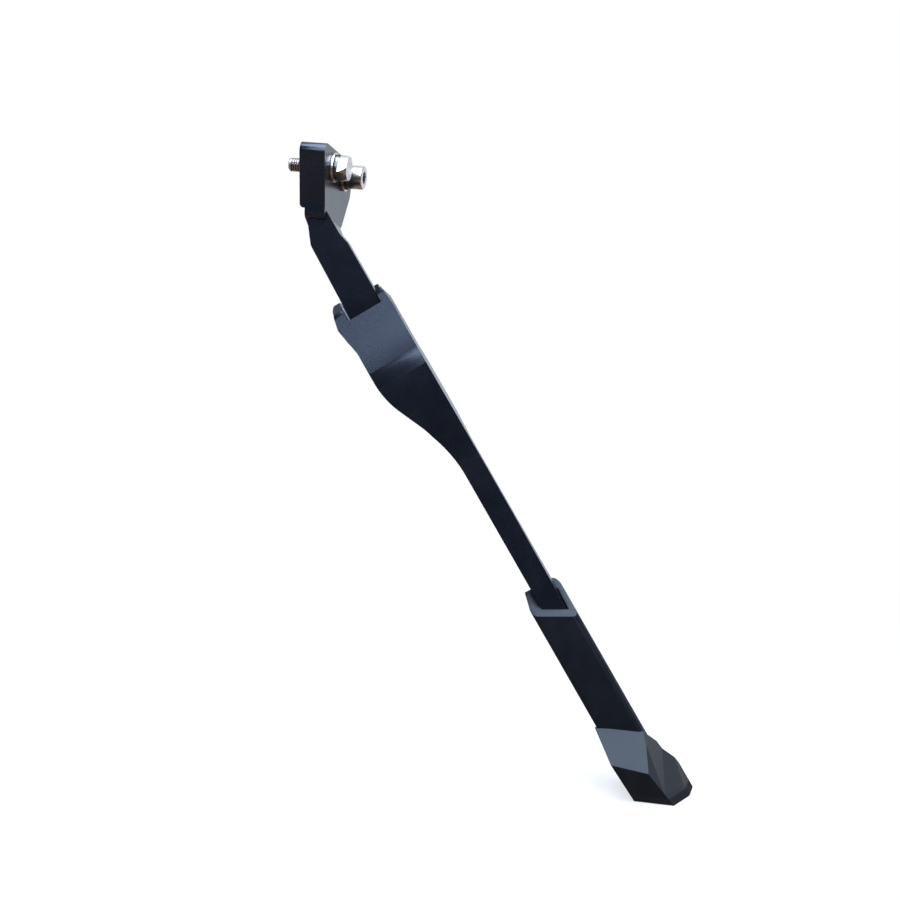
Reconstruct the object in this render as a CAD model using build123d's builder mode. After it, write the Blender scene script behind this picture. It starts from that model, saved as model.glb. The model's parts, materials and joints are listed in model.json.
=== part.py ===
"""Left-hand rear-mount bicycle kickstand: bolted bracket, two-position hinge, leg and sliding foot.

Millimetres. +X points outboard, away from the wheel, +Y to the rear and +Z up.
The origin is the front bolt hole's centre on the bracket's mating face.
The stand is modelled with the leg down and the foot slid fully in.
"""
from build123d import *
import os
from math import cos, radians, sin, tan

os.makedirs("parts", exist_ok=True)

# Bracket plate, seen from the side as Y against Z
plate_thickness = 11.0
plate_front = -12.7
plate_rear = 27.5
plate_margin = 7.6
hole_pitch = 18.0
hole_slope = 27.0
hole_diameter = 6.4
pad_step = 2.3
pad_bottom = -14.5
web_corner = -19.0
web_rear = 13.0
web_bottom = -29.0

# Hinge place and the leg's two lean angles
hinge_x = 32.0
hinge_y = -13.45
hinge_z = -60.1
lean_forward = 12.0
spread_outward = 34.0
toe_out = 5.0
fold_angle = 100.0

# Arm and knuckle
arm_width = 15.3
arm_thickness = 8.5
arm_straight = 39.0
neck_taper = 1.1
neck_top = -15.0
lip_reach = 0.7
lip_top = -12.5
lip_bottom = -18.0
knuckle_radius = 7.0
bush_diameter = 8.0
pin_diameter = 6.0
notch_depth = 1.4

# Leg head
ear_top = 12.9
ear_shoulder = 8.0
ear_rear = 7.5
liner_thickness = 0.5
liner_top = 10.2
front_wall = 3.6
front_wall_top = 3.4
head_inboard = 11.5
ear_flare = 2.6
ear_flare_outboard = 0.6
head_outboard = 11.6
side_draft = 6.0
head_straight = 33.0
channel_depth = 30.0
pocket_depth = 43.0
pocket_half_width = 5.2
guide_bore_depth = 9.0

# Bar that the foot slides on, as seen from the front
bar_left = 1.5
bar_right = 12.1
bar_start = 63.0
bar_rear = 1.0
bar_thickness = 6.0
bar_end = 212.0
notch_pitch = 5.0
notch_cut = 1.5

# Foot shoe
shoe_top = 131.0
rim_front = 146.9
rim_slope = 0.57
shoe_wall = 2.8
inboard_wall = 4.6
shoe_draft = 9.0
bore_clearance = 0.25
bore_end = 221.0
foot_travel = 40.0
sole_height = -243.6
sole_thickness = 2.8
sole_start = 255.0
plug_radius = 3.0
plug_height = 4.0
heel_reach = 9.0

# Detent under the knuckle
boss_face = 12.3
boss_radius = 6.3
pin_head_radius = 5.8
pin_head_height = 1.8
guide_diameter = 3.0
nose_radius = 1.6
follower_height = 6.5
spring_inner = 5.8
spring_wire = 1.1

# Height latch on the back of the shoe, heights below the hinge
latch_tooth = 161.5
latch_pivot = 172.0
latch_across = 5.6
latch_half = 3.4
cheek = 1.7
cheek_length = 34.0
cheek_rear = -8.2
notch_mouth = 1.7
notch_floor = 0.7
tooth_drop = 0.5
tooth_sweep = 1.2
stop_height = 207.0
stop_diameter = 3.0
stop_depth = 5.0

# Toe, heel and outboard side of the foot in the world
heel_high = -224.0
block_top = -217.0
toe_corner = 173.4
outline_front = -82.0
foot_right_middle = 179.4
foot_right_rear = 177.6
foot_middle_y = -55.5
valley_x = 171.9
valley_y = -68.2
hollow_size = 50.0
facet_edge = -238.0

# Mounting screws
screw_diameter = 6.0
thread_diameter = 5.35
washer_diameter = 12.5
washer_thickness = 1.4
lock_diameter = 11.0
lock_thickness = 1.6
hex_across_flats = 10.0
hex_height = 4.0
cap_diameter = 10.0
cap_height = 6.0
cap_socket = 5.0
socket_depth = 3.0
bolt_reach = 8.0
screw_reach = 6.0

# Latch rocker and its pin
rocker_rear = -6.6
rocker_front = -3.6
rocker_top = 159.0
rocker_bottom = 187.0
pin_depth = -5.2
latch_pin_diameter = 2.5
latch_spring_height = 183.0
latch_spring_outer = 4.0
latch_spring_wire = 0.5
spring_seat = 1.0
window_half = 4.5

# Running clearances
run_clear = 0.3
slip_clear = 0.05

# Hinge frame: out is the hinge axis, down runs along the leg, face is the leg's front normal
lean = radians(lean_forward)
spread = radians(spread_outward)
toe = radians(toe_out)
hinge = Vector(hinge_x, hinge_y, hinge_z)
down = Vector(sin(spread), -cos(spread) * sin(lean), -cos(spread) * cos(lean))
square_out = Vector(cos(spread), sin(spread) * sin(lean), sin(spread) * cos(lean))
out = square_out * cos(toe) - down.cross(square_out) * sin(toe)
face = down.cross(out)


def front_plane(depth):
    """Plane facing forward, depth in front of the hinge axis: x across, y up the leg."""
    return Plane(origin=hinge + face * depth, x_dir=out, z_dir=face)


def side_plane(across=0.0):
    """Plane across the hinge axis: x forward, y up the leg. It faces inboard."""
    return Plane(origin=hinge + out * across, x_dir=face, z_dir=-out)


def cross_plane(height):
    """Plane square to the leg, height above the hinge: x across, y forward. It faces down."""
    return Plane(origin=hinge - down * height, x_dir=out, z_dir=down)


def on_front(x, y, z):
    """A world point as across and up the leg."""
    offset = Vector(x, y, z) - hinge
    return (offset.dot(out), -offset.dot(down))


def on_side(x, y, z):
    """A world point as forward and up the leg."""
    offset = Vector(x, y, z) - hinge
    return (offset.dot(face), -offset.dot(down))


def finish(piece, name):
    piece.part.label = name
    export_step(piece.part, f"parts/{name}.step")


# Values that follow from the driving sizes
rear_hole_y = hole_pitch * cos(radians(hole_slope))
rear_hole_z = -hole_pitch * sin(radians(hole_slope))
holes = [(0, 0), (rear_hole_y, rear_hole_z)]
slope_rise = tan(radians(hole_slope))
top_at_hole = plate_margin / cos(radians(hole_slope))
top_front_z = top_at_hole - plate_front * slope_rise
top_rear_z = top_at_hole - plate_rear * slope_rise
ear_inside = arm_width / 2 + liner_thickness + 0.1
wall_inside = knuckle_radius + run_clear
wall_outside = wall_inside + front_wall
bar_front = bar_rear + bar_thickness
bar_middle = (bar_left + bar_right) / 2
draft_rate = tan(radians(side_draft))
outline_depth = wall_outside + 0.8
notch_count = int(foot_travel / notch_pitch) + 1


def bar_half(depth):
    """Half the bar's width at a depth in front of the hinge axis, with the forging draft."""
    return (bar_right - bar_left) / 2 - (outline_depth - depth) * draft_rate


# Bracket: plate, neck, arm and knuckle in one forging
mid = (plate_thickness + pad_step) / 2
arm_rear = knuckle_radius - arm_thickness
with BuildPart() as bracket:
    with BuildSketch(front_plane(knuckle_radius)):
        with BuildLine():
            FilletPolyline(
                (arm_width / 2, 0),
                (arm_width / 2, arm_straight - 7),
                (arm_width / 2 - neck_taper, arm_straight - 2),
                on_front(plate_thickness, plate_front, neck_top),
                on_front(plate_thickness, plate_front, neck_top + 7),
                on_front(pad_step + 0.2, plate_front, neck_top + 7),
                on_front(pad_step, plate_front, pad_bottom),
                (-arm_width / 2 + neck_taper, arm_straight),
                (-arm_width / 2, 0),
                radius=[0, 8, 6, 0, 0, 0, 0, 6, 0],
                close=True,
            )
        make_face()
    extrude(amount=-26, taper=side_draft)
    with BuildSketch(side_plane()):
        with BuildLine():
            FilletPolyline(
                (knuckle_radius, 0),
                (knuckle_radius, 75),
                (knuckle_radius - 24, 75),
                on_side(mid, web_rear, web_bottom),
                (arm_rear, 34),
                (arm_rear, 0),
                radius=[0, 0, 0, 0, 12, 0],
                close=True,
            )
        make_face()
    extrude(amount=30, both=True, mode=Mode.INTERSECT)
    with BuildSketch(Plane.YZ):
        with BuildLine():
            FilletPolyline(
                (plate_front, top_front_z),
                (plate_rear, top_rear_z),
                (plate_rear, web_corner),
                (web_rear, web_bottom),
                (web_rear - 12, web_bottom - 3.5),
                (plate_front + 4, web_bottom + 6),
                (plate_front - lip_reach, lip_bottom),
                (plate_front - lip_reach, lip_top - 3),
                (plate_front, lip_top),
                radius=[3.5, 4, 7, 6, 0, 0, 2, 1, 1.5],
                close=True,
            )
        make_face()
    extrude(amount=plate_thickness)
    with BuildSketch(Plane.YZ):
        with Locations((0, pad_bottom - 20)):
            Rectangle(80, 40)
    extrude(amount=pad_step, mode=Mode.SUBTRACT)
    pad_edge = bracket.edges().filter_by(Axis.Y).sort_by_distance((0, 0, pad_bottom))[0]
    fillet(pad_edge, 1.8)
    with BuildSketch(side_plane()):
        Circle(knuckle_radius)
    extrude(amount=arm_width / 2, both=True)
    with BuildSketch(side_plane()):
        Circle(bush_diameter / 2)
    extrude(amount=arm_width, both=True, mode=Mode.SUBTRACT)
    with BuildSketch(Plane.YZ):
        with Locations(*holes):
            Circle(hole_diameter / 2)
    extrude(amount=plate_thickness + 1, mode=Mode.SUBTRACT)
    groove = 1.9
    seat = knuckle_radius + groove - notch_depth
    with BuildSketch(side_plane()):
        with Locations((0, -seat), (-seat * sin(radians(fold_angle)), -seat * cos(radians(fold_angle)))):
            Circle(groove)
    extrude(amount=arm_width, both=True, mode=Mode.SUBTRACT)
finish(bracket, "mount_bracket")

# Leg: forked head, tapering shoulder and bar in one forging
with BuildPart() as leg:
    with BuildSketch(front_plane(outline_depth)):
        with BuildLine():
            FilletPolyline(
                (head_outboard - 0.4, ear_top),
                (head_outboard + ear_flare_outboard, 3),
                (bar_right, -bar_start - 8),
                (bar_right, -bar_end),
                (bar_left, -bar_end),
                (bar_left, -bar_start),
                (-head_inboard, -head_straight),
                (-head_inboard, -10),
                (-head_inboard - ear_flare, 3),
                (-head_inboard - ear_flare + 2, ear_top),
                radius=[1, 4, 60, 0, 0, 50, 35, 4, 3, 1],
                close=True,
            )
        make_face()
    extrude(amount=-24, taper=side_draft)
    with BuildSketch(side_plane()):
        with BuildLine():
            FilletPolyline(
                (wall_outside - 0.4, ear_shoulder),
                (wall_outside + 0.6, -24),
                (bar_front, -bar_start - 9),
                (bar_front, -bar_end - 1),
                (bar_rear, -bar_end - 1),
                (bar_rear, -bar_start - 3),
                (-ear_rear, -pocket_depth - 3),
                (-ear_rear, ear_shoulder),
                (-ear_rear + 5, ear_top),
                (wall_outside - 6, ear_top),
                radius=[3, 60, 60, 0, 0, 20, 14, 3, 4, 3],
                close=True,
            )
        make_face()
    extrude(amount=30, both=True, mode=Mode.INTERSECT)
    with BuildSketch(side_plane(-boss_face)):
        Circle(boss_radius)
    extrude(amount=-(boss_face - ear_inside))
    with BuildSketch(side_plane(-boss_face)):
        Circle(pin_head_radius + 0.2)
    extrude(amount=5, mode=Mode.SUBTRACT)
    with BuildSketch(cross_plane(ear_top + 5)):
        with Locations((0, (wall_inside - 20) / 2)):
            Rectangle(2 * ear_inside, wall_inside + 20)
    extrude(amount=ear_top + 5 + channel_depth, mode=Mode.SUBTRACT)
    with BuildSketch(cross_plane(ear_top + 5)):
        Rectangle(2 * ear_inside, 50)
    extrude(amount=ear_top + 5 - front_wall_top, mode=Mode.SUBTRACT)
    with BuildSketch(cross_plane(-channel_depth + 1)):
        with Locations((0, (pocket_half_width - 20) / 2)):
            Rectangle(2 * pocket_half_width, pocket_half_width + 20)
    extrude(amount=pocket_depth - channel_depth + 1, mode=Mode.SUBTRACT)
    with BuildSketch(cross_plane(-pocket_depth + 1)):
        Circle(guide_diameter / 2 + slip_clear)
    extrude(amount=guide_bore_depth + 1, mode=Mode.SUBTRACT)
    with BuildSketch(side_plane()):
        Circle(pin_diameter / 2 + 0.02)
    extrude(amount=30, both=True, mode=Mode.SUBTRACT)
    with BuildSketch(side_plane(bar_middle)):
        for step in range(notch_count):
            notch_height = -latch_tooth - tooth_drop - step * notch_pitch
            with Locations((bar_rear, notch_height)):
                Polygon(
                    (-0.1, -notch_mouth),
                    (notch_cut, -notch_floor),
                    (notch_cut, notch_floor),
                    (-0.1, notch_mouth),
                    align=None,
                )
    extrude(amount=20, both=True, mode=Mode.SUBTRACT)
    with BuildSketch(front_plane(bar_front)):
        with Locations((bar_middle, -stop_height)):
            Circle(stop_diameter / 2 + 0.02)
    extrude(amount=-stop_depth, mode=Mode.SUBTRACT)
finish(leg, "leg")

# Pivot: headed pin from the inboard side, bush in the knuckle, a thin liner between it and each ear
with BuildPart() as pivot_pin:
    with BuildSketch(side_plane(-boss_face)):
        Circle(pin_diameter / 2)
    extrude(amount=-(boss_face + head_outboard - 1.6))
    with BuildSketch(side_plane(-boss_face)):
        Circle(pin_head_radius)
    extrude(amount=pin_head_height)
    fillet(pivot_pin.faces().sort_by(Axis((0, 0, 0), -out))[-1].edges(), 0.9)
finish(pivot_pin, "pivot_pin")

with BuildPart() as pivot_bush:
    with BuildSketch(side_plane()):
        Circle(bush_diameter / 2 - 0.01)
        Circle(pin_diameter / 2 + slip_clear, mode=Mode.SUBTRACT)
    extrude(amount=arm_width / 2, both=True)
finish(pivot_bush, "pivot_bush")

with BuildPart() as side_liners:
    for side in (-1, 1):
        with BuildSketch(side_plane(side * (ear_inside - liner_thickness / 2))):
            with Locations((0, (liner_top - knuckle_radius) / 2)):
                RectangleRounded(2 * knuckle_radius - 1, liner_top + knuckle_radius, 1.5)
            Circle(pin_diameter / 2 + 0.1, mode=Mode.SUBTRACT)
        extrude(amount=liner_thickness / 2, both=True)
finish(side_liners, "side_liners")

# Detent: a block that a coil spring presses up against the knuckle's grooves
follower_top = knuckle_radius + run_clear + nose_radius
with BuildPart() as detent_follower:
    with BuildSketch(cross_plane(-follower_top)):
        RectangleRounded(2 * ear_inside - 0.6, 2 * (knuckle_radius - 0.4), 1.5)
    extrude(amount=follower_height)
    with BuildSketch(side_plane()):
        with Locations((0, -follower_top)):
            Circle(nose_radius)
    extrude(amount=ear_inside - 0.8, both=True)
    with BuildSketch(cross_plane(-follower_top - follower_height)):
        Circle(spring_inner / 2 - 0.3)
    extrude(amount=3)
    with BuildSketch(cross_plane(-follower_top - follower_height)):
        Circle(guide_diameter / 2)
    extrude(amount=pocket_depth + guide_bore_depth - 2 - follower_top - follower_height)
finish(detent_follower, "detent_follower")


def coil_spring(name, start, axis, length, radius, wire, turns):
    """Round wire wound as a helix, from start along axis, its wire wholly inside length."""
    rise = length - wire
    helix = Helix(
        pitch=rise / turns,
        height=rise,
        radius=radius,
        center=start + axis * (wire / 2),
        direction=axis,
        mode=Mode.PRIVATE,
    )
    with BuildPart() as spring:
        with BuildLine():
            add(helix)
        with BuildSketch(Plane(origin=helix @ 0, z_dir=helix % 0)):
            Circle(wire / 2)
        sweep(is_frenet=True)
    finish(spring, name)


spring_top = follower_top + follower_height
coil_spring(
    "detent_spring",
    hinge + down * (spring_top + 0.05),
    down,
    pocket_depth - spring_top - 0.1,
    (spring_inner + spring_wire) / 2,
    spring_wire,
    5,
)

# Foot shoe: sleeve, toe and heel in one moulding
shoe_left = bar_left + draft_rate - inboard_wall
shoe_right = bar_right - draft_rate + shoe_wall
shoe_front = bar_front + shoe_wall
shoe_rear = bar_rear - shoe_wall
shoe_across = (shoe_left + shoe_right) / 2
shoe_depth = shoe_front - shoe_rear
shoe_draft_rate = tan(radians(shoe_draft))
pad_top = sole_height + sole_thickness


def shoe_y(depth, height):
    """Y of the shoe's middle at a depth in front of the hinge axis and a world height."""
    along = (height - hinge_z - out.Z * shoe_across - face.Z * depth) / down.Z
    return hinge_y + out.Y * shoe_across + face.Y * depth + down.Y * along


def shoe_x(across, y, height):
    """X of a point at a place across the leg, a world Y and a world height."""
    return hinge_x + (across - out.Y * (y - hinge_y) - out.Z * (height - hinge_z)) / out.X


heel_back = shoe_y(shoe_rear, sole_height) + heel_reach

# Toe planes: the lit facet on top and the face below it, which leans back to the ground
facet_top = Vector(159.7, -57.8, -219.2)
toe_facet = Vector(0.072, -0.597, 0.801)
front_foot = Vector(159.1, -68.5, sole_height)
toe_face = Vector(-0.079, -0.978, -0.19)
with BuildPart() as shoe_foot:
    with BuildSketch(Plane.XY.offset(sole_height)):
        with BuildLine():
            FilletPolyline(
                (shoe_x(shoe_left, outline_front, sole_height), outline_front),
                (toe_corner, outline_front),
                (foot_right_middle, foot_middle_y),
                (foot_right_rear, heel_back),
                (shoe_x(shoe_left, heel_back, sole_height), heel_back),
                radius=[0, 0, 10, 4, 2.5],
                close=True,
            )
        make_face()
    extrude(amount=60, dir=-down)
    with BuildSketch(Plane.YZ):
        with BuildLine():
            FilletPolyline(
                (shoe_y(shoe_front - 0.5, block_top), block_top),
                (outline_front - 10, block_top),
                (outline_front - 10, sole_height),
                (heel_back, sole_height),
                (heel_back, sole_height + 7),
                (shoe_y(shoe_rear + 0.5, heel_high), heel_high),
                radius=[0, 0, 0, 0, 9, 0],
                close=True,
            )
        make_face()
    extrude(amount=200, mode=Mode.INTERSECT)
    split(bisect_by=Plane(origin=facet_top, z_dir=toe_facet), keep=Keep.BOTTOM)
    split(bisect_by=Plane(origin=front_foot, z_dir=toe_face), keep=Keep.BOTTOM)

# Hollow on the outboard side: the toe's steep side and the flare meet along a valley
valley_point = Vector(valley_x, valley_y, facet_edge)
steep_side = Vector(0.863, 0.033, 0.502)
flare = Vector(0.65, -0.14, 0.75)
valley = steep_side.cross(flare).normalized()
valley_plane = Plane(origin=valley_point, x_dir=flare, z_dir=valley)
up_side = valley_plane.to_local_coords(valley_point + valley.cross(steep_side) * hollow_size)
along_flare = valley_plane.to_local_coords(valley_point + flare.cross(valley) * hollow_size)
with BuildPart() as side_hollow:
    with BuildSketch(valley_plane):
        with BuildLine():
            Polyline(
                (0, 0),
                (up_side.X, up_side.Y),
                (up_side.X + along_flare.X, up_side.Y + along_flare.Y),
                (along_flare.X, along_flare.Y),
                close=True,
            )
        make_face()
    extrude(amount=hollow_size, both=True)

slot_width = stop_diameter + 2 * run_clear
rim_foot = (shoe_front + 1, -rim_front - 1.2)
rim_head = (shoe_rear - 1, -rim_front + 20)
above_rim = -shoe_top + 15
with BuildPart() as foot_shoe:
    with BuildSketch(cross_plane(-shoe_top)):
        with BuildLine():
            FilletPolyline(
                (shoe_left, shoe_front),
                (shoe_right, shoe_front),
                (shoe_right - shoe_depth * shoe_draft_rate, shoe_rear),
                (shoe_left + shoe_depth * shoe_draft_rate, shoe_rear),
                radius=[2.2, 2.2, 2, 2],
                close=True,
            )
        make_face()
    extrude(amount=sole_start - shoe_top)
    add(shoe_foot.part)
    add(side_hollow.part, mode=Mode.SUBTRACT)
    for side in (-1, 1):
        with BuildSketch(side_plane(latch_across + side * (latch_half + run_clear + cheek / 2))):
            with Locations(((cheek_rear + shoe_rear + 1) / 2, -latch_pivot)):
                RectangleRounded(shoe_rear + 1 - cheek_rear, cheek_length, 2.5)
        extrude(amount=cheek / 2, both=True)
    with BuildSketch(cross_plane(-shoe_top + 1)):
        with BuildLine():
            Polyline(
                (bar_middle - bar_half(bar_front) - bore_clearance, bar_front + bore_clearance),
                (bar_middle + bar_half(bar_front) + bore_clearance, bar_front + bore_clearance),
                (bar_middle + bar_half(bar_rear) + bore_clearance, bar_rear - bore_clearance),
                (bar_middle - bar_half(bar_rear) - bore_clearance, bar_rear - bore_clearance),
                close=True,
            )
        make_face()
    extrude(amount=bore_end - shoe_top + 1, mode=Mode.SUBTRACT)
    with BuildSketch(side_plane(bar_middle)):
        with BuildLine():
            ThreePointArc(rim_foot, (3.4, -rim_front + 8.8), rim_head)
            Polyline(rim_head, (rim_head[0], above_rim), (rim_foot[0], above_rim), rim_foot)
        make_face()
    extrude(amount=30, both=True, dir=out + down * rim_slope, mode=Mode.SUBTRACT)
    with BuildSketch(front_plane(shoe_rear - 1)):
        with Locations((latch_across, -latch_tooth)):
            Rectangle(2 * (latch_half + run_clear), 2 * window_half)
    extrude(amount=bar_rear - shoe_rear + 1 + tooth_sweep, mode=Mode.SUBTRACT)
    with BuildSketch(front_plane(bar_front)):
        with Locations((bar_middle, -stop_height + foot_travel / 2)):
            SlotOverall(foot_travel + slot_width, slot_width, rotation=90)
    extrude(amount=1.5, mode=Mode.SUBTRACT)
    with BuildSketch(front_plane(shoe_rear)):
        with Locations((latch_across, -latch_spring_height)):
            Circle(latch_spring_outer / 2 + run_clear)
    extrude(amount=spring_seat, mode=Mode.SUBTRACT)
    with BuildSketch(side_plane(latch_across)):
        with Locations((pin_depth, -latch_pivot)):
            Circle(latch_pin_diameter / 2 + 0.01)
    extrude(amount=latch_half + run_clear + cheek + 1, both=True, mode=Mode.SUBTRACT)
    split(bisect_by=Plane.XY.offset(pad_top), keep=Keep.TOP)
    with BuildSketch(Plane.XY.offset(pad_top)):
        with Locations((toe_corner - 6, foot_middle_y)):
            Circle(plug_radius)
    extrude(amount=plug_height, mode=Mode.SUBTRACT)
finish(foot_shoe, "foot_shoe")

with BuildPart() as sole_pad:
    add(shoe_foot.part)
    split(bisect_by=Plane.XY.offset(pad_top), keep=Keep.BOTTOM)
    with BuildSketch(Plane.XY.offset(pad_top)):
        with Locations((toe_corner - 6, foot_middle_y)):
            Circle(plug_radius - 0.02)
    extrude(amount=plug_height - 0.3)
finish(sole_pad, "sole_pad")

# Stop pin: fixed in the bar, running in the shoe's blind slot
with BuildPart() as stop_pin:
    with BuildSketch(front_plane(bar_front - stop_depth)):
        with Locations((bar_middle, -stop_height)):
            Circle(stop_diameter / 2)
    extrude(amount=stop_depth + 1.2)
finish(stop_pin, "stop_pin")

# Height latch: rocker with a tooth, its pin and its spring
with BuildPart() as latch_rocker:
    with BuildSketch(side_plane(latch_across)):
        with BuildLine():
            FilletPolyline(
                (rocker_front, -rocker_top),
                (rocker_front, -rocker_bottom),
                (rocker_rear, -rocker_bottom),
                (rocker_rear - 1.2, -rocker_bottom + 5),
                (rocker_rear, -latch_pivot + 4),
                (rocker_rear, -rocker_top),
                radius=[1, 1, 1, 3, 8, 1],
                close=True,
            )
        make_face()
        with Locations((bar_rear - run_clear, -latch_tooth)):
            Polygon((-5, -2.2), (0, -notch_floor + 0.1), (0, notch_floor - 0.1), (-5, 2.2), align=None)
    extrude(amount=latch_half, both=True)
    with BuildSketch(side_plane(latch_across)):
        with Locations((pin_depth, -latch_pivot)):
            Circle(latch_pin_diameter / 2 + slip_clear)
    extrude(amount=latch_half + 1, both=True, mode=Mode.SUBTRACT)
    with BuildSketch(front_plane(rocker_front)):
        with Locations((latch_across, -latch_spring_height)):
            Circle(latch_spring_outer / 2 + run_clear)
    extrude(amount=-spring_seat, mode=Mode.SUBTRACT)
finish(latch_rocker, "latch_rocker")

with BuildPart() as latch_pin:
    with BuildSketch(side_plane(latch_across)):
        with Locations((pin_depth, -latch_pivot)):
            Circle(latch_pin_diameter / 2)
    extrude(amount=latch_half + run_clear + cheek, both=True)
finish(latch_pin, "latch_pin")

coil_spring(
    "latch_spring",
    hinge + out * latch_across + down * latch_spring_height + face * (rocker_front - spring_seat + 0.05),
    face,
    shoe_rear - rocker_front + 2 * spring_seat - 0.1,
    (latch_spring_outer - latch_spring_wire) / 2,
    latch_spring_wire,
    2.5,
)


# Mounting screws, flat washers and split lock washers
def washers(name, centre):
    """A flat washer and the split lock washer outside it, at centre on the plate."""
    with BuildPart() as flat:
        with BuildSketch(Plane.YZ.offset(plate_thickness)):
            with Locations(centre):
                Circle(washer_diameter / 2)
                Circle(screw_diameter / 2 + 0.2, mode=Mode.SUBTRACT)
        extrude(amount=washer_thickness)
    finish(flat, f"{name}_flat_washer")
    with BuildPart() as lock:
        with BuildSketch(Plane.YZ.offset(plate_thickness + washer_thickness)):
            with Locations(centre):
                Circle(lock_diameter / 2)
                Circle(screw_diameter / 2 + 0.15, mode=Mode.SUBTRACT)
                with Locations((0, lock_diameter / 2)):
                    Rectangle(1, lock_diameter, rotation=20, mode=Mode.SUBTRACT)
        extrude(amount=lock_thickness)
    finish(lock, f"{name}_lock_washer")


under_head = plate_thickness + washer_thickness + lock_thickness
washers("front", holes[0])
washers("rear", holes[1])


def screw_shank(reach, centre):
    """A screw's shank and the thinner threaded end that stands out of the mating face."""
    with BuildPart() as shank:
        with BuildSketch(Plane.YZ.offset(-reach)):
            with Locations(centre):
                Circle(thread_diameter / 2)
        extrude(amount=reach)
        chamfer(shank.faces().sort_by(Axis.X)[0].edges(), 0.7)
        with BuildSketch(Plane.YZ):
            with Locations(centre):
                Circle(screw_diameter / 2)
        extrude(amount=under_head)
    return shank.part


with BuildPart() as hex_bolt:
    with BuildSketch(Plane.YZ.offset(under_head)):
        RegularPolygon(hex_across_flats / 2, 6, major_radius=False)
    extrude(amount=hex_height)
    with BuildSketch(Plane.YZ.offset(under_head)):
        Circle(hex_across_flats / 2 + 0.9)
    extrude(amount=hex_height, taper=12, mode=Mode.INTERSECT)
    add(screw_shank(bolt_reach, holes[0]))
finish(hex_bolt, "front_hex_bolt")

with BuildPart() as cap_screw:
    add(screw_shank(screw_reach, holes[1]))
    with BuildSketch(Plane.YZ.offset(under_head)):
        with Locations(holes[1]):
            Circle(cap_diameter / 2)
    extrude(amount=cap_height)
    fillet(cap_screw.faces().sort_by(Axis.X)[-1].edges(), 0.6)
    with BuildSketch(Plane.YZ.offset(under_head + cap_height)):
        with Locations(holes[1]):
            RegularPolygon(cap_socket / 2, 6, major_radius=False)
    extrude(amount=-socket_depth, mode=Mode.SUBTRACT)
finish(cap_screw, "rear_cap_screw")
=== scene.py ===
"""Looks of the bicycle kickstand: finishes for every CAD node, rolled screw threads, a plain studio.

Laid out as an add-on and run as a script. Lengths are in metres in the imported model's own frame:
+X outboard, +Y to the rear, +Z up.
"""
import json

import bmesh
import bpy
from math import cos, radians, sin, tau
from mathutils import Matrix, Vector


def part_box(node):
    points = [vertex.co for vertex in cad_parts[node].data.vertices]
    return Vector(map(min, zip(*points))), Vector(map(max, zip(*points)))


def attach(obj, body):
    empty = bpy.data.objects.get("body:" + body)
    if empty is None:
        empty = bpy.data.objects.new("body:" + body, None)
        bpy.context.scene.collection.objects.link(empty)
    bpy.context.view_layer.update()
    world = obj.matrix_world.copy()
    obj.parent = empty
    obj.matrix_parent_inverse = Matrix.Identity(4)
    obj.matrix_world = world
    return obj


bl_info = {
    "name": "Kickstand looks",
    "version": (1, 0, 0),
    "blender": (4, 5, 0),
    "location": "3D View > Sidebar > Kickstand",
    "description": "Finishes, screw threads and studio for a packed bicycle kickstand",
    "category": "Object",
}

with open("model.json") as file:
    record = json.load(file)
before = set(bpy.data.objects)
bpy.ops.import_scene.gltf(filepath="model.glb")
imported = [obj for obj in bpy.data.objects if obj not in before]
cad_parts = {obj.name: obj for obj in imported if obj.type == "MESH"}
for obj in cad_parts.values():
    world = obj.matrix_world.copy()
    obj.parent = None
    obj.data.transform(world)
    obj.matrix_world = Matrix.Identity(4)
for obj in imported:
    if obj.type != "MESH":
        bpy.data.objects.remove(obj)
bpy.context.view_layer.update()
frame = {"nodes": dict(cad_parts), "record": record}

MM = 0.001
BASE_Z = -0.2436
FLOOR_DROP = 0.0002
TREAD_PITCH = 0.004

# Middle of the picture along the camera's right, up and back, and its width on the object
PICTURE_AT = (0.059417, -0.11875, 0.010)
PICTURE_WIDTH = 0.375

# The leg's direction, and the normal of its front, as the hinge joint gives them
HINGE = next(joint for joint in frame["record"]["behaviour"]["joints"] if joint["name"] == "leg_fold")
SLIDE = next(joint for joint in frame["record"]["behaviour"]["joints"] if joint["name"] == "foot_extension")
HINGE_AT = Vector(HINGE["pos_m"])
OUT = Vector(HINGE["axis"]).normalized()
UP_LEG = -Vector(SLIDE["axis"]).normalized()
FRONT = OUT.cross(UP_LEG)

# A point on the rear screw's axis
REAR_LOW, REAR_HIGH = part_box("rear_cap_screw")
REAR_AT = (0.0, (REAR_LOW[1] + REAR_HIGH[1]) / 2, (REAR_LOW[2] + REAR_HIGH[2]) / 2)


class Field:
    """A shader value: an output socket or a plain number, with arithmetic that adds Math nodes."""

    def __init__(self, finish, value):
        self.finish = finish
        self.value = value

    def _math(self, operation, *others, swap=False):
        values = [self, *others]
        if swap:
            values.reverse()
        node = self.finish.node("ShaderNodeMath", {"operation": operation})
        for socket, value in zip(node.inputs, values):
            self.finish.feed(socket, value)
        return Field(self.finish, node.outputs[0])

    def __add__(self, other):
        return self._math("ADD", other)

    __radd__ = __add__

    def __sub__(self, other):
        return self._math("SUBTRACT", other)

    def __rsub__(self, other):
        return self._math("SUBTRACT", other, swap=True)

    def __mul__(self, other):
        return self._math("MULTIPLY", other)

    __rmul__ = __mul__

    def __pow__(self, other):
        return self._math("POWER", other)

    def __rpow__(self, other):
        return self._math("POWER", other, swap=True)

    def wave(self):
        return self._math("SINE")

    def ramp(self, low, high):
        """0 at low and below, 1 at high and above, smooth between."""
        node = self.finish.node(
            "ShaderNodeMapRange",
            {"interpolation_type": "SMOOTHSTEP"},
            {"Value": self, "From Min": low, "From Max": high, "To Min": 0.0, "To Max": 1.0},
        )
        return Field(self.finish, node.outputs[0])


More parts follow.
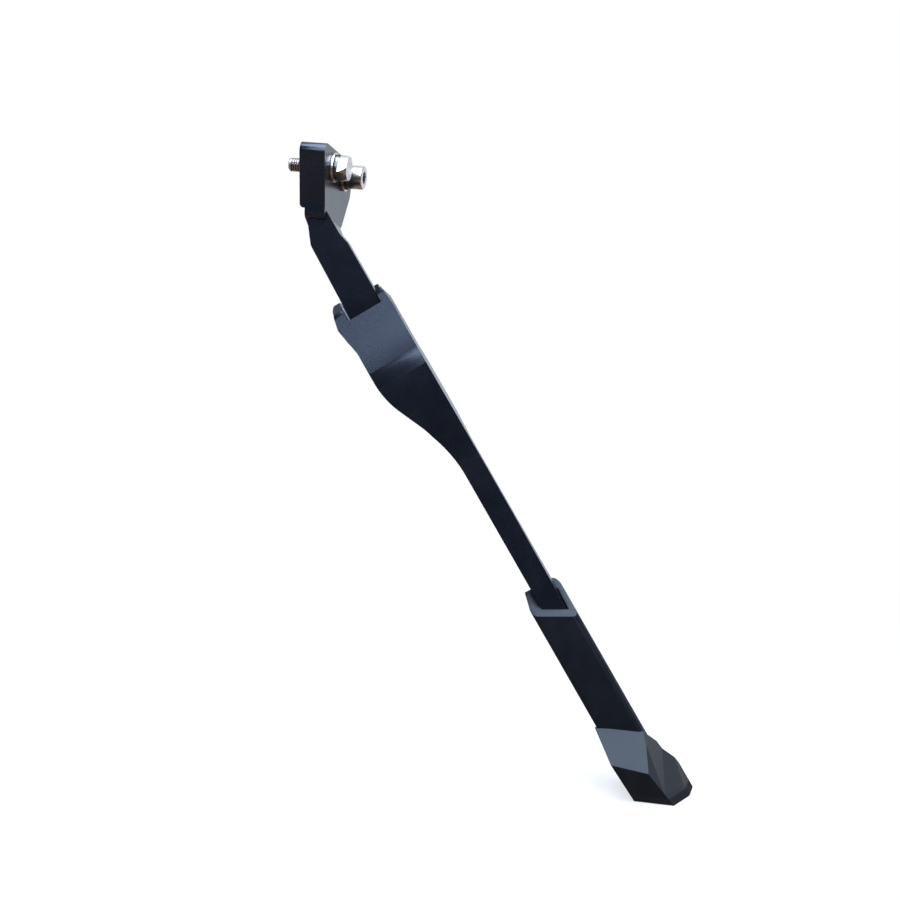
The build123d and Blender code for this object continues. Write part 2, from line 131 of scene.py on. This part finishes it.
class Finish:
    """One material's node tree, with the few ways this script adds nodes."""

    def __init__(self, name=None, world=None):
        holder = world or bpy.data.materials.new(name)
        holder.use_nodes = True
        self.holder = holder
        self.tree = holder.node_tree
        self.tree.nodes.clear()

    def node(self, kind, settings=None, inputs=None):
        """Adds a node, sets its settings, then feeds its inputs."""
        node = self.tree.nodes.new(kind)
        for key, value in (settings or {}).items():
            setattr(node, key, value)
        for key, value in (inputs or {}).items():
            self.feed(node.inputs[key], value)
        return node

    def feed(self, socket, value):
        """Links a field or socket, or sets a plain value."""
        if isinstance(value, Field):
            value = value.value
        if isinstance(value, bpy.types.NodeSocket):
            self.tree.links.new(value, socket)
        elif value is not None:
            socket.default_value = value

    def place(self):
        """The point on the surface in metres, as three fields."""
        node = self.node("ShaderNodeTexCoord")
        parts = self.node("ShaderNodeSeparateXYZ", None, {"Vector": node.outputs["Object"]})
        return [Field(self, socket) for socket in parts.outputs]

    def along(self, direction, origin=(0, 0, 0)):
        """Distance in millimetres from origin along a direction."""
        spot = self.node("ShaderNodeTexCoord").outputs["Object"]
        offset = self.vector("SUBTRACT", spot, tuple(origin))
        return Field(self, self.vector("DOT_PRODUCT", offset, tuple(direction), output=1)) * 1000.0

    def vector(self, operation, *values, output=0):
        node = self.node("ShaderNodeVectorMath", {"operation": operation})
        vector_inputs = [socket for socket in node.inputs if socket.type == "VECTOR"]
        for socket, value in zip(vector_inputs, values):
            self.feed(socket, value)
        return node.outputs[output]

    def scale(self, vector, factor):
        node = self.node("ShaderNodeVectorMath", {"operation": "SCALE"})
        self.feed(node.inputs[0], vector)
        self.feed(node.inputs["Scale"], factor)
        return node.outputs[0]

    def noise(self, size, detail=3.0, roughness=0.55, stretch=None):
        """Noise with features about size millimetres across, from 0 to 1."""
        spot = self.node("ShaderNodeTexCoord").outputs["Object"]
        if stretch is not None:
            spot = self.vector("MULTIPLY", spot, stretch)
        node = self.node(
            "ShaderNodeTexNoise",
            {"noise_dimensions": "3D"},
            {"Vector": spot, "Scale": 1.0 / (size * MM), "Detail": detail, "Roughness": roughness},
        )
        return Field(self, node.outputs[0])

    def mix(self, factor, first, second):
        """Colour mix from first to second."""
        node = self.node("ShaderNodeMix", {"data_type": "RGBA"})
        self.feed(node.inputs[0], factor)
        self.feed(node.inputs[6], first if not isinstance(first, tuple) else (*first, 1.0))
        self.feed(node.inputs[7], second if not isinstance(second, tuple) else (*second, 1.0))
        return node.outputs[2]

    def edges(self, radius):
        """0 on flat surface, up to 1 on a sharp edge, from how far the rounded normal turns; the mask of
        the painted edge highlights.
        """
        rounded = self.node("ShaderNodeBevel", {"samples": 6}, {"Radius": radius * MM}).outputs[0]
        plain = self.node("ShaderNodeNewGeometry").outputs["Normal"]
        turn = Field(self, self.vector("DOT_PRODUCT", rounded, plain, output=1))
        return (1.0 - turn).ramp(0.01, 0.2)

    def bump(self, height, depth, normal=None):
        """Normal from a height field, depth millimetres high."""
        inputs = {"Height": height, "Strength": 1.0, "Distance": depth * MM}
        if normal is not None:
            inputs["Normal"] = normal
        return self.node("ShaderNodeBump", None, inputs).outputs[0]

    def surface(self, fixed, varying):
        """Principled shader to the output: constants on its sockets, varying values linked."""
        shader = self.node("ShaderNodeBsdfPrincipled", None, fixed)
        for key, value in varying.items():
            self.feed(shader.inputs[key], value)
        output = self.node("ShaderNodeOutputMaterial")
        self.tree.links.new(shader.outputs[0], output.inputs[0])
        return self.holder


def wear(names, material):
    """Puts a finish on the named CAD nodes, whose meshes stay as they are."""
    for name in names:
        node = frame["nodes"][name]
        node.data.materials.clear()
        node.data.materials.append(material)


def soften(name, width, angle=28.0, segments=3):
    """Rounds a CAD node's sharp edges by a modifier, width in millimetres."""
    node = frame["nodes"][name]
    weld = node.modifiers.new("weld", "WELD")
    weld.merge_threshold = 0.00002
    bevel = node.modifiers.new("soft edges", "BEVEL")
    bevel.width = width * MM
    bevel.segments = segments
    bevel.limit_method = "ANGLE"
    bevel.angle_limit = radians(angle)
    bevel.use_clamp_overlap = True
    bevel.harden_normals = True
    bevel.miter_outer = "MITER_ARC"


class FinishSettings(bpy.types.PropertyGroup):
    """Numbers that the finishes share."""

    coat_roughness: bpy.props.FloatProperty(
        name="Coat roughness",
        description="Roughness of the satin black coating",
        default=0.26,
        min=0.0,
        max=1.0,
    )
    plastic_roughness: bpy.props.FloatProperty(
        name="Plastic roughness",
        description="Roughness of the moulded foot",
        default=0.38,
        min=0.0,
        max=1.0,
    )
    crown_tilt: bpy.props.FloatProperty(
        name="Crown tilt",
        description="How far the forged head's front leans back near the hinge",
        default=radians(15.0),
        subtype="ANGLE",
    )
    edge_round: bpy.props.FloatProperty(
        name="Edge rounding",
        description="Rounding of the forgings' edges, in millimetres",
        default=0.5,
        min=0.0,
    )


class ThreadSettings(bpy.types.PropertyGroup):
    """The rolled threads on the screw ends."""

    pitch: bpy.props.FloatProperty(
        name="Pitch",
        description="Distance between crests",
        default=0.001,
        unit="LENGTH",
        subtype="DISTANCE",
    )
    crest: bpy.props.FloatProperty(
        name="Crest radius",
        description="Outside radius of the thread",
        default=0.00295,
        subtype="DISTANCE",
    )
    root: bpy.props.FloatProperty(
        name="Root radius",
        description="Radius at which the ridge meets the core",
        default=0.0026,
        subtype="DISTANCE",
    )
    steps: bpy.props.IntProperty(name="Steps", description="Steps in one turn", default=40, min=12)


class StudioSettings(bpy.types.PropertyGroup):
    """Camera and light."""

    azimuth: bpy.props.FloatProperty(
        name="Azimuth",
        description="Camera's turn towards outboard",
        default=radians(15.0),
        subtype="ANGLE",
    )
    elevation: bpy.props.FloatProperty(
        name="Elevation", description="Camera's height angle", default=radians(17.0), subtype="ANGLE"
    )
    distance: bpy.props.FloatProperty(
        name="Distance", description="Camera's distance", default=4.0, unit="LENGTH", subtype="DISTANCE"
    )
    overhead: bpy.props.FloatProperty(
        name="Overhead",
        description="Power of the lamp above",
        default=27.0,
    )
    front: bpy.props.FloatProperty(
        name="Front",
        description="Power of the lamp in front and above",
        default=13.0,
    )


class KICKSTAND_OT_coated(bpy.types.Operator):
    """Satin black coating on the two forgings"""

    bl_idname = "kickstand.coated"
    bl_label = "Coated forgings"

    def material(self, name, settings, crown):
        finish = Finish(name)
        peel = finish.noise(0.45, 2.0)
        cloud = finish.noise(14.0, 3.0)
        edge_highlight = finish.edges(0.35)
        tone = finish.mix(cloud.ramp(0.3, 0.75), (0.0030, 0.0038, 0.0066), (0.0052, 0.0062, 0.0098))
        # Painted edge highlight: sharp edges lightened in patches towards a bluish grey
        tone = finish.mix(edge_highlight * cloud * 0.3, tone, (0.04, 0.043, 0.05))
        normal = finish.bump(peel, 0.010)
        if crown:
            height = finish.along(UP_LEG, HINGE_AT)
            plain = finish.node("ShaderNodeNewGeometry").outputs["Normal"]
            facing = Field(finish, finish.vector("DOT_PRODUCT", plain, tuple(FRONT), output=1))
            facing = facing.ramp(0.88, 0.97)
            lean = height.ramp(-52.0, 2.0) * facing * float(settings.crown_tilt)
            tilted = finish.vector("ADD", plain, finish.scale(tuple(UP_LEG), lean))
            tilted = finish.vector("NORMALIZE", tilted)
            normal = finish.bump(peel, 0.010, tilted)
        rough = cloud * 0.08 + peel * 0.05 + (settings.coat_roughness - 0.06)
        return finish.surface(
            # Specular Tint: a painted bluish sheen in the coating's reflections
            {"Specular IOR Level": 0.5, "IOR": 1.5, "Specular Tint": (0.80, 0.90, 1.0, 1.0)},
            {"Base Color": tone, "Roughness": rough, "Normal": normal},
        )

    def execute(self, context):
        settings = context.scene.kickstand_finish
        wear(["mount_bracket"], self.material("coated_bracket", settings, False))
        wear(["leg"], self.material("coated_leg", settings, True))
        soften("mount_bracket", settings.edge_round)
        soften("leg", settings.edge_round)
        return {"FINISHED"}


class KICKSTAND_OT_plastic(bpy.types.Operator):
    """Moulded black plastic of the foot and its latch rocker"""

    bl_idname = "kickstand.plastic"
    bl_label = "Moulded plastic"

    def execute(self, context):
        settings = context.scene.kickstand_finish
        finish = Finish("moulded_plastic")
        grain = finish.noise(0.30, 2.0, 0.6)
        flow = finish.noise(9.0, 3.0, 0.6, (1.0, 1.0, 0.35))
        edge_highlight = finish.edges(0.3)
        tone = finish.mix(flow.ramp(0.3, 0.7), (0.0036, 0.0039, 0.0052), (0.0058, 0.0062, 0.0080))
        # Painted edge highlight: sharp edges lightened towards a bluish grey
        tone = finish.mix(edge_highlight * 0.25, tone, (0.032, 0.034, 0.040))
        rough = flow * 0.10 + grain * 0.06 + (settings.plastic_roughness - 0.08)
        material = finish.surface(
            # Specular Tint: a painted bluish sheen in the plastic's reflections
            {"Specular IOR Level": 0.3, "IOR": 1.42, "Specular Tint": (0.82, 0.92, 1.0, 1.0)},
            {"Base Color": tone, "Roughness": rough, "Normal": finish.bump(grain, 0.012)},
        )
        wear(["foot_shoe", "latch_rocker"], material)
        soften("foot_shoe", 0.35)
        soften("latch_rocker", 0.2)
        return {"FINISHED"}


class KICKSTAND_OT_rubber(bpy.types.Operator):
    """Matt rubber of the sole, with a fine moulded tread"""

    bl_idname = "kickstand.rubber"
    bl_label = "Rubber sole"

    def execute(self, context):
        finish = Finish("sole_rubber")
        grain = finish.noise(0.5, 3.0, 0.65)
        x, y, z = finish.place()
        underneath = 1.0 - (z * 1000.0).ramp(BASE_Z * 1000.0 + 0.05, BASE_Z * 1000.0 + 0.4)
        turn = tau / TREAD_PITCH
        tread = ((x + y) * turn).wave().ramp(-0.2, 0.2) * ((x - y) * turn).wave().ramp(-0.2, 0.2)
        tone = finish.mix(grain, (0.006, 0.006, 0.0065), (0.013, 0.013, 0.014))
        rough = grain * 0.15 + 0.62
        height = grain * 0.15 + tread * underneath
        material = finish.surface(
            {"Specular IOR Level": 0.12},
            {"Base Color": tone, "Roughness": rough, "Normal": finish.bump(height, 0.12)},
        )
        wear(["sole_pad"], material)
        soften("sole_pad", 0.45)
        return {"FINISHED"}


class KICKSTAND_OT_steel(bpy.types.Operator):
    """Stainless steel of screws, washers and pins, turned marks round their own axes"""

    bl_idname = "kickstand.steel"
    bl_label = "Stainless parts"

    def material(self, name, axis, centre, tone_low, tone_high, rough_base):
        finish = Finish(name)
        spot = finish.node("ShaderNodeTexCoord").outputs["Object"]
        offset = finish.vector("SUBTRACT", spot, tuple(centre))
        length = Field(finish, finish.vector("DOT_PRODUCT", offset, tuple(axis), output=1))
        radial = finish.vector("SUBTRACT", offset, finish.scale(tuple(axis), length))
        radius = Field(finish, finish.vector("LENGTH", radial, output=1))
        rings = (radius * (tau / 0.00018)).wave() * 0.5 + (length * (tau / 0.00021)).wave() * 0.5
        smudge = finish.noise(2.4, 3.0)
        fine = finish.noise(0.12, 2.0)
        tone = finish.mix(smudge.ramp(0.3, 0.75), tone_low, tone_high)
        rough = smudge * 0.10 + fine * 0.06 + (rough_base - 0.08)
        return finish.surface(
            {"Metallic": 1.0},
            {
                "Base Color": tone,
                "Roughness": rough,
                "Normal": finish.bump(rings * 0.35 + fine * 0.4, 0.0025),
            },
        )

    def execute(self, context):
        bright = (0.70, 0.67, 0.64)
        dull = (0.52, 0.47, 0.43)
        front = self.material("stainless_front", (1, 0, 0), (0, 0, 0), dull, bright, 0.30)
        back = self.material("stainless_rear", (1, 0, 0), REAR_AT, dull, bright, 0.28)
        dark = ((0.02, 0.021, 0.024), (0.035, 0.036, 0.04))
        pins = self.material("stainless_pins", OUT, HINGE_AT, *dark, 0.34)
        small = self.material("stainless_small", OUT, HINGE_AT, dull, bright, 0.28)
        wear(["front_hex_bolt", "front_flat_washer"], front)
        wear(["rear_cap_screw", "rear_flat_washer"], back)
        wear(["pivot_pin"], pins)
        wear(["latch_pin", "stop_pin"], small)
        # The threads, made later, take this one: a darker brown copy of the stainless, painted shade with a
        # painted warm reflection
        thread_painted_shade = ((0.20, 0.16, 0.135), (0.34, 0.285, 0.25))
        self.material("stainless_thread_painted_shade", (1, 0, 0), (0, 0, 0), *thread_painted_shade, 0.36)
        for name in ("front_hex_bolt", "rear_cap_screw"):
            soften(name, 0.18, 24.0)
        for name in ("front_flat_washer", "rear_flat_washer", "latch_pin"):
            soften(name, 0.12)
        return {"FINISHED"}


class KICKSTAND_OT_springs(bpy.types.Operator):
    """Oiled spring steel of springs, lock washers and detent block"""

    bl_idname = "kickstand.springs"
    bl_label = "Spring steel"

    def execute(self, context):
        finish = Finish("spring_steel")
        scale_marks = finish.noise(1.2, 4.0, 0.6)
        fine = finish.noise(0.15, 2.0)
        tone = finish.mix(scale_marks.ramp(0.35, 0.7), (0.10, 0.095, 0.09), (0.30, 0.29, 0.28))
        rough = scale_marks * 0.18 + 0.26
        material = finish.surface(
            {"Metallic": 1.0},
            {"Base Color": tone, "Roughness": rough, "Normal": finish.bump(fine, 0.004)},
        )
        lock_washers = ["front_lock_washer", "rear_lock_washer"]
        wear(["detent_spring", "latch_spring", "detent_follower", *lock_washers], material)
        for name in lock_washers:
            soften(name, 0.15)
        return {"FINISHED"}


class KICKSTAND_OT_bearings(bpy.types.Operator):
    """Bronze bush and pale slide liners"""

    bl_idname = "kickstand.bearings"
    bl_label = "Bearings"

    def execute(self, context):
        bronze = Finish("bronze_bush")
        pores = bronze.noise(0.22, 4.0, 0.7)
        tone = bronze.mix(pores.ramp(0.35, 0.65), (0.22, 0.13, 0.06), (0.50, 0.34, 0.16))
        wear(
            ["pivot_bush"],
            bronze.surface(
                {"Metallic": 1.0},
                {"Base Color": tone, "Roughness": pores * 0.25 + 0.30, "Normal": bronze.bump(pores, 0.006)},
            ),
        )
        liner = Finish("slide_liner")
        rub = liner.noise(1.6, 3.0, 0.6, (1.0, 1.0, 0.4))
        tone = liner.mix(rub.ramp(0.3, 0.75), (0.20, 0.21, 0.23), (0.34, 0.35, 0.38))
        wear(
            ["side_liners"],
            liner.surface(
                {"Specular IOR Level": 0.45},
                {"Base Color": tone, "Roughness": rub * 0.2 + 0.35, "Normal": liner.bump(rub, 0.01)},
            ),
        )
        return {"FINISHED"}


class KICKSTAND_OT_threads(bpy.types.Operator):
    """Rolled thread ridges on the free ends of both screws"""

    bl_idname = "kickstand.threads"
    bl_label = "Screw threads"

    def ridge(self, settings, name, centre, tip):
        body = bmesh.new()
        turns = (-tip - 0.0006) / settings.pitch
        count = int(turns * settings.steps)
        half = settings.pitch * 0.47
        rings = []
        for step in range(count + 1):
            angle = tau * step / settings.steps
            along = -settings.pitch * angle / tau
            fade = min(1.0, step / 10.0, (count - step) / 16.0)
            top = settings.root + (settings.crest - settings.root) * fade
            ring = []
            flat = settings.pitch * 0.07
            for shift, radius in ((-half, settings.root), (-flat, top), (flat, top), (half, settings.root)):
                reach = min(-0.00005, along + shift)
                place = (reach, centre[1] + radius * cos(angle), centre[2] + radius * sin(angle))
                ring.append(body.verts.new(place))
            rings.append(ring)
        for first, second in zip(rings, rings[1:]):
            for side in range(4):
                nearby = (side + 1) % 4
                body.faces.new((first[side], first[nearby], second[nearby], second[side]))
        body.faces.new(rings[0][::-1])
        body.faces.new(rings[-1])
        bmesh.ops.recalc_face_normals(body, faces=body.faces)
        mesh = bpy.data.meshes.new(name)
        body.to_mesh(mesh)
        body.free()
        mesh.materials.append(bpy.data.materials["stainless_thread_painted_shade"])
        piece = bpy.data.objects.new(name, mesh)
        bpy.context.scene.collection.objects.link(piece)
        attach(piece, "bracket")

    def execute(self, context):
        settings = context.scene.kickstand_thread
        front_low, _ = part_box("front_hex_bolt")
        self.ridge(settings, "front_thread", (0.0, 0.0, 0.0), front_low[0])
        self.ridge(settings, "rear_thread", REAR_AT, REAR_LOW[0])
        return {"FINISHED"}


class KICKSTAND_OT_studio(bpy.types.Operator):
    """Pale floor, soft lamps, world and the camera at the photograph's angle"""

    bl_idname = "kickstand.studio"
    bl_label = "Studio"

    def lamp(self, name, place, aim, size, power, colour):
        light = bpy.data.lights.new(name, "AREA")
        light.shape = "RECTANGLE"
        light.size, light.size_y = size
        light.energy = power
        light.color = colour
        lamp = bpy.data.objects.new(name, light)
        lamp.location = place
        lamp.rotation_euler = (Vector(aim) - Vector(place)).to_track_quat("-Z", "Y").to_euler()
        bpy.context.scene.collection.objects.link(lamp)

    def floor(self):
        mesh = bpy.data.meshes.new("floor")
        body = bmesh.new()
        bmesh.ops.create_grid(body, x_segments=24, y_segments=24, size=6.0)
        for vertex in body.verts:
            vertex.co.z = BASE_Z - FLOOR_DROP
        body.to_mesh(mesh)
        body.free()
        finish = Finish("pale_floor")
        x, y, _ = finish.place()
        spread = ((x - 0.14) ** 2.0 + (y + 0.05) ** 2.0) ** 0.5
        seen = Field(finish, finish.node("ShaderNodeLightPath").outputs["Is Camera Ray"])
        white = seen * (spread.ramp(0.03, 0.30) * 0.35 + 0.65)
        tooth = finish.noise(2.0, 3.0)
        tone = finish.mix(tooth, (0.86, 0.86, 0.86), (0.90, 0.90, 0.90))
        paper = finish.node("ShaderNodeBsdfPrincipled", None, {"Roughness": 0.9, "Specular IOR Level": 0.1})
        finish.feed(paper.inputs["Base Color"], tone)
        glow = finish.node("ShaderNodeEmission", None, {"Color": (1.0, 1.0, 1.0, 1.0), "Strength": 1.0})
        blend = finish.node("ShaderNodeMixShader")
        finish.feed(blend.inputs[0], white)
        finish.feed(blend.inputs[1], paper.outputs[0])
        finish.feed(blend.inputs[2], glow.outputs[0])
        # Glossy rays see a warm dark floor in front and a pale one behind
        mirrored = finish.mix(y.ramp(0.05, 0.5), (0.26, 0.20, 0.17), (0.95, 1.02, 1.15))
        far = finish.node("ShaderNodeEmission", None, {"Color": mirrored, "Strength": 1.0})
        glossy = finish.node("ShaderNodeLightPath").outputs["Is Glossy Ray"]
        both = finish.node("ShaderNodeMixShader")
        finish.feed(both.inputs[0], glossy)
        finish.feed(both.inputs[1], blend.outputs[0])
        finish.feed(both.inputs[2], far.outputs[0])
        output = finish.node("ShaderNodeOutputMaterial")
        finish.feed(output.inputs[0], both.outputs[0])
        mesh.materials.append(finish.holder)
        floor = bpy.data.objects.new("floor", mesh)
        bpy.context.scene.collection.objects.link(floor)

    def surroundings(self):
        world = bpy.data.worlds.new("studio")
        bpy.context.scene.world = world
        finish = Finish(world=world)
        direction = finish.node("ShaderNodeTexCoord").outputs["Generated"]
        parts = finish.node("ShaderNodeSeparateXYZ", None, {"Vector": direction})
        behind = Field(finish, parts.outputs[1]).ramp(-0.25, 0.55)
        path = finish.node("ShaderNodeLightPath")
        camera = Field(finish, path.outputs["Is Camera Ray"])
        glossy = Field(finish, path.outputs["Is Glossy Ray"])
        room = finish.mix(behind, (0.03, 0.03, 0.034), (0.88, 0.98, 1.15))
        soft = finish.mix(glossy, (0.26, 0.27, 0.29), room)
        colour = finish.mix(camera, soft, (1.0, 1.0, 1.0))
        back = finish.node("ShaderNodeBackground", None, {"Color": colour, "Strength": 1.0})
        output = finish.node("ShaderNodeOutputWorld")
        finish.feed(output.inputs[0], back.outputs[0])

    def camera(self, settings):
        turn, rise = settings.azimuth, settings.elevation
        right = Vector((cos(turn), sin(turn), 0.0))
        back = Vector((sin(turn) * cos(rise), -cos(turn) * cos(rise), sin(rise)))
        up = back.cross(right)
        centre = right * PICTURE_AT[0] + up * PICTURE_AT[1] + back * PICTURE_AT[2]
        data = bpy.data.cameras.new("camera")
        data.sensor_width = 36.0
        data.lens = data.sensor_width * settings.distance / PICTURE_WIDTH
        data.clip_end = 50.0
        data.dof.use_dof = False
        camera = bpy.data.objects.new("camera", data)
        turned = Matrix((right, up, back)).transposed().to_4x4()
        camera.matrix_world = Matrix.Translation(centre + back * settings.distance) @ turned
        bpy.context.scene.collection.objects.link(camera)
        bpy.context.scene.camera = camera

    def execute(self, context):
        settings = context.scene.kickstand_studio
        self.floor()
        self.surroundings()
        self.lamp(
            "overhead", place=(0.03, -0.08, 0.85), aim=(0.08, -0.03, -0.1), size=(1.0, 0.8),
            power=settings.overhead, colour=(0.70, 0.80, 1.0),
        )
        self.lamp(
            "front", place=(-0.12, -1.10, 0.93), aim=(0.06, -0.03, -0.1), size=(0.9, 0.42),
            power=settings.front, colour=(0.62, 0.73, 1.0),
        )
        self.camera(settings)
        context.scene.view_settings.view_transform = "Standard"
        return {"FINISHED"}


class KICKSTAND_PT_panel(bpy.types.Panel):
    """Settings and steps in the 3D view's sidebar"""

    bl_idname = "KICKSTAND_PT_panel"
    bl_label = "Kickstand"
    bl_space_type = "VIEW_3D"
    bl_region_type = "UI"
    bl_category = "Kickstand"

    def draw(self, context):
        scene = context.scene
        for group in (scene.kickstand_finish, scene.kickstand_thread, scene.kickstand_studio):
            box = self.layout.box()
            for key in group.__annotations__:
                box.prop(group, key)
        for step in STEPS:
            self.layout.operator(step.bl_idname)


GROUPS = {
    "kickstand_finish": FinishSettings,
    "kickstand_thread": ThreadSettings,
    "kickstand_studio": StudioSettings,
}
STEPS = (
    KICKSTAND_OT_coated,
    KICKSTAND_OT_plastic,
    KICKSTAND_OT_rubber,
    KICKSTAND_OT_steel,
    KICKSTAND_OT_springs,
    KICKSTAND_OT_bearings,
    KICKSTAND_OT_threads,
    KICKSTAND_OT_studio,
)


def register():
    for cls in (*GROUPS.values(), *STEPS, KICKSTAND_PT_panel):
        bpy.utils.register_class(cls)
    for name, group in GROUPS.items():
        setattr(bpy.types.Scene, name, bpy.props.PointerProperty(type=group))


def unregister():
    for name in GROUPS:
        delattr(bpy.types.Scene, name)
    for cls in reversed((*GROUPS.values(), *STEPS, KICKSTAND_PT_panel)):
        bpy.utils.unregister_class(cls)


def main():
    register()
    for step in STEPS:
        area, verb = step.bl_idname.split(".")
        getattr(getattr(bpy.ops, area), verb)()


if __name__ == "__main__":
    main()
